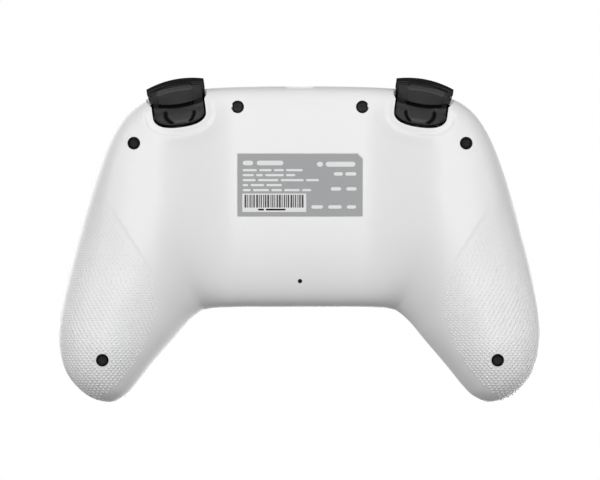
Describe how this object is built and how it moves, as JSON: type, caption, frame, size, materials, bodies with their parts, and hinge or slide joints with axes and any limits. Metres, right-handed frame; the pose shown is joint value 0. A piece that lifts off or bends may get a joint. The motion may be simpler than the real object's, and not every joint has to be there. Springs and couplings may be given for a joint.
{
  "type": "gamepad controller",
  "caption": "Two-handed game controller with white grip shells, black triggers, bumpers, thumb sticks, direction pad and buttons, charged by a socket in its top edge.",
  "frame": {"origin": "on the surface the pad lies on, under the middle of its outline", "axes": "+X across the pad to the right-hand grip, +Y towards the triggers, +Z out of the button side; it lies on its back"},
  "size_m": [0.155, 0.1047, 0.0505],
  "materials": {
    "shell_white": "fine moulded satin",
    "label_grey": "printed polyester film",
    "screw_black": "black oxide",
    "trigger_black": "satin moulded",
    "bumper_black": "satin moulded",
    "button_black": "satin moulded",
    "stick_rubber": "matt rubber",
    "inner_plastic": "moulded",
    "steel": "bright",
    "silicone": "soft matt",
    "lens_clear": "frosted clear",
    "board_green": "solder mask",
    "battery_foil": "pouch foil"
  },
  "bodies": {
    "root": {"rear_shell": "shell_white", "front_shell": "shell_white", "rear_label": "label_grey", "case_screws": "screw_black", "trigger_bracket_left": "inner_plastic", "trigger_bracket_right": "inner_plastic", "trigger_pin_left": "steel", "trigger_pin_right": "steel", "trigger_spring_left": "steel", "trigger_spring_right": "steel", "bumper_pin_left": "steel", "bumper_pin_right": "steel", "bumper_switch_left": "inner_plastic", "bumper_switch_right": "inner_plastic", "stick_housing_left": "steel", "stick_housing_right": "steel", "direction_post": "inner_plastic", "direction_membrane": "silicone", "face_membrane": "silicone", "menu_membrane": "silicone", "indicator_lens": "lens_clear", "main_board": "board_green", "board_parts": "inner_plastic", "board_screws": "steel", "battery_pack": "battery_foil", "usb_port": "steel", "reset_switch": "inner_plastic", "rumble_motor_left": "steel", "rumble_motor_right": "steel"},
    "trigger_left": {"trigger_left": "trigger_black"},
    "trigger_right": {"trigger_right": "trigger_black"},
    "bumper_left": {"bumper_left": "bumper_black"},
    "bumper_right": {"bumper_right": "bumper_black"},
    "stick_yoke_left": {"stick_yoke_left": "inner_plastic"},
    "stick_hub_left": {"stick_hub_left": "inner_plastic"},
    "stick_top_left": {"stick_lever_left": "steel", "stick_cap_left": "stick_rubber"},
    "stick_arm_left": {"stick_arm_left": "inner_plastic"},
    "stick_yoke_right": {"stick_yoke_right": "inner_plastic"},
    "stick_hub_right": {"stick_hub_right": "inner_plastic"},
    "stick_top_right": {"stick_lever_right": "steel", "stick_cap_right": "stick_rubber"},
    "stick_arm_right": {"stick_arm_right": "inner_plastic"},
    "direction_ball": {"direction_ball": "steel"},
    "direction_pad": {"direction_pad": "button_black"},
    "face_button_north": {"face_button_north": "button_black"},
    "face_button_east": {"face_button_east": "button_black"},
    "face_button_south": {"face_button_south": "button_black"},
    "face_button_west": {"face_button_west": "button_black"},
    "select_button": {"select_button": "button_black"},
    "start_button": {"start_button": "button_black"},
    "capture_button": {"capture_button": "button_black"},
    "home_button": {"home_button": "button_black"},
    "reset_plunger": {"reset_plunger": "inner_plastic"},
    "rumble_weight_left": {"rumble_weight_left": "steel"},
    "rumble_weight_right": {"rumble_weight_right": "steel"}
  },
  "joints": [
    {"name": "trigger_left_pull", "type": "hinge", "parent": "root", "child": "trigger_left", "pos_m": [-0.0386, 0.0401, 0.029], "axis": [-0.9903, -0.1392, 0], "range_deg": [0, 8], "stiffness_Nm_per_rad": 0.05, "springref_deg": -20.05, "deforming": ["trigger_spring_left"]},
    {"name": "trigger_right_pull", "type": "hinge", "parent": "root", "child": "trigger_right", "pos_m": [0.0386, 0.0401, 0.029], "axis": [-0.9903, 0.1392, 0], "range_deg": [0, 8], "stiffness_Nm_per_rad": 0.05, "springref_deg": -20.05, "deforming": ["trigger_spring_right"]},
    {"name": "bumper_left_press", "type": "hinge", "parent": "root", "child": "bumper_left", "pos_m": [-0.02508, 0.04473, 0.029], "axis": [0, 0, 1], "range_deg": [0, 1], "stiffness_Nm_per_rad": 0.6, "springref_deg": -2.86},
    {"name": "bumper_right_press", "type": "hinge", "parent": "root", "child": "bumper_right", "pos_m": [0.02508, 0.04473, 0.029], "axis": [0, 0, -1], "range_deg": [0, 1], "stiffness_Nm_per_rad": 0.6, "springref_deg": -2.86},
    {"name": "stick_left_up_down", "type": "hinge", "parent": "root", "child": "stick_yoke_left", "pos_m": [-0.0385, 0.018, 0.03], "axis": [1, 0, 0], "range_deg": [-18, 18], "stiffness_Nm_per_rad": 0.02},
    {"name": "stick_left_left_right", "type": "hinge", "parent": "stick_yoke_left", "child": "stick_hub_left", "pos_m": [-0.0385, 0.018, 0.03], "axis": [0, 1, 0], "range_deg": [-18, 18], "stiffness_Nm_per_rad": 0.02},
    {"name": "stick_left_click", "type": "slide", "parent": "stick_hub_left", "child": "stick_top_left", "axis": [0, 0, -1], "range_m": [0, 0.0005], "stiffness_N_per_m": 2000, "springref_m": -0.001},
    {"name": "stick_left_arm_follow", "type": "hinge", "parent": "root", "child": "stick_arm_left", "pos_m": [-0.0385, 0.018, 0.03], "axis": [0, 1, 0], "range_deg": [-18, 18]},
    {"name": "stick_right_up_down", "type": "hinge", "parent": "root", "child": "stick_yoke_right", "pos_m": [0.0195, -0.00215, 0.03], "axis": [1, 0, 0], "range_deg": [-18, 18], "stiffness_Nm_per_rad": 0.02},
    {"name": "stick_right_left_right", "type": "hinge", "parent": "stick_yoke_right", "child": "stick_hub_right", "pos_m": [0.0195, -0.00215, 0.03], "axis": [0, 1, 0], "range_deg": [-18, 18], "stiffness_Nm_per_rad": 0.02},
    {"name": "stick_right_click", "type": "slide", "parent": "stick_hub_right", "child": "stick_top_right", "axis": [0, 0, -1], "range_m": [0, 0.0005], "stiffness_N_per_m": 2000, "springref_m": -0.001},
    {"name": "stick_right_arm_follow", "type": "hinge", "parent": "root", "child": "stick_arm_right", "pos_m": [0.0195, -0.00215, 0.03], "axis": [0, 1, 0], "range_deg": [-18, 18]},
    {"name": "direction_pad_up_down", "type": "hinge", "parent": "root", "child": "direction_ball", "pos_m": [-0.0195, -0.00215, 0.031], "axis": [1, 0, 0], "range_deg": [-3.5, 3.5], "stiffness_Nm_per_rad": 0.2, "deforming": ["direction_membrane"]},
    {"name": "direction_pad_left_right", "type": "hinge", "parent": "direction_ball", "child": "direction_pad", "pos_m": [-0.0195, -0.00215, 0.031], "axis": [0, 1, 0], "range_deg": [-3.5, 3.5], "stiffness_Nm_per_rad": 0.2, "deforming": ["direction_membrane"]},
    {"name": "face_button_north_press", "type": "slide", "parent": "root", "child": "face_button_north", "axis": [0, 0, -1], "range_m": [0, 0.0015], "stiffness_N_per_m": 300, "springref_m": -0.002, "deforming": ["face_membrane"]},
    {"name": "face_button_east_press", "type": "slide", "parent": "root", "child": "face_button_east", "axis": [0, 0, -1], "range_m": [0, 0.0015], "stiffness_N_per_m": 300, "springref_m": -0.002, "deforming": ["face_membrane"]},
    {"name": "face_button_south_press", "type": "slide", "parent": "root", "child": "face_button_south", "axis": [0, 0, -1], "range_m": [0, 0.0015], "stiffness_N_per_m": 300, "springref_m": -0.002, "deforming": ["face_membrane"]},
    {"name": "face_button_west_press", "type": "slide", "parent": "root", "child": "face_button_west", "axis": [0, 0, -1], "range_m": [0, 0.0015], "stiffness_N_per_m": 300, "springref_m": -0.002, "deforming": ["face_membrane"]},
    {"name": "select_button_press", "type": "slide", "parent": "root", "child": "select_button", "axis": [0, 0, -1], "range_m": [0, 0.0008], "stiffness_N_per_m": 400, "springref_m": -0.002, "deforming": ["menu_membrane"]},
    {"name": "start_button_press", "type": "slide", "parent": "root", "child": "start_button", "axis": [0, 0, -1], "range_m": [0, 0.0008], "stiffness_N_per_m": 400, "springref_m": -0.002, "deforming": ["menu_membrane"]},
    {"name": "capture_button_press", "type": "slide", "parent": "root", "child": "capture_button", "axis": [0, 0, -1], "range_m": [0, 0.0008], "stiffness_N_per_m": 400, "springref_m": -0.002, "deforming": ["menu_membrane"]},
    {"name": "home_button_press", "type": "slide", "parent": "root", "child": "home_button", "axis": [0, 0, -1], "range_m": [0, 0.0008], "stiffness_N_per_m": 400, "springref_m": -0.002, "deforming": ["menu_membrane"]},
    {"name": "reset_press", "type": "slide", "parent": "root", "child": "reset_plunger", "axis": [0, 0, 1], "range_m": [0, 0.0003], "stiffness_N_per_m": 400, "springref_m": -0.0005},
    {"name": "rumble_weight_left_spin", "type": "hinge", "parent": "root", "child": "rumble_weight_left", "pos_m": [-0.055, -0.022, 0.013], "axis": [-1, 0, 0], "continuous": true},
    {"name": "rumble_weight_right_spin", "type": "hinge", "parent": "root", "child": "rumble_weight_right", "pos_m": [0.055, -0.022, 0.013], "axis": [1, 0, 0], "continuous": true}
  ],
  "couplings": [
    {"joint": "stick_left_arm_follow", "follows": "stick_left_left_right", "ratio": 1},
    {"joint": "stick_right_arm_follow", "follows": "stick_right_left_right", "ratio": 1}
  ]
}
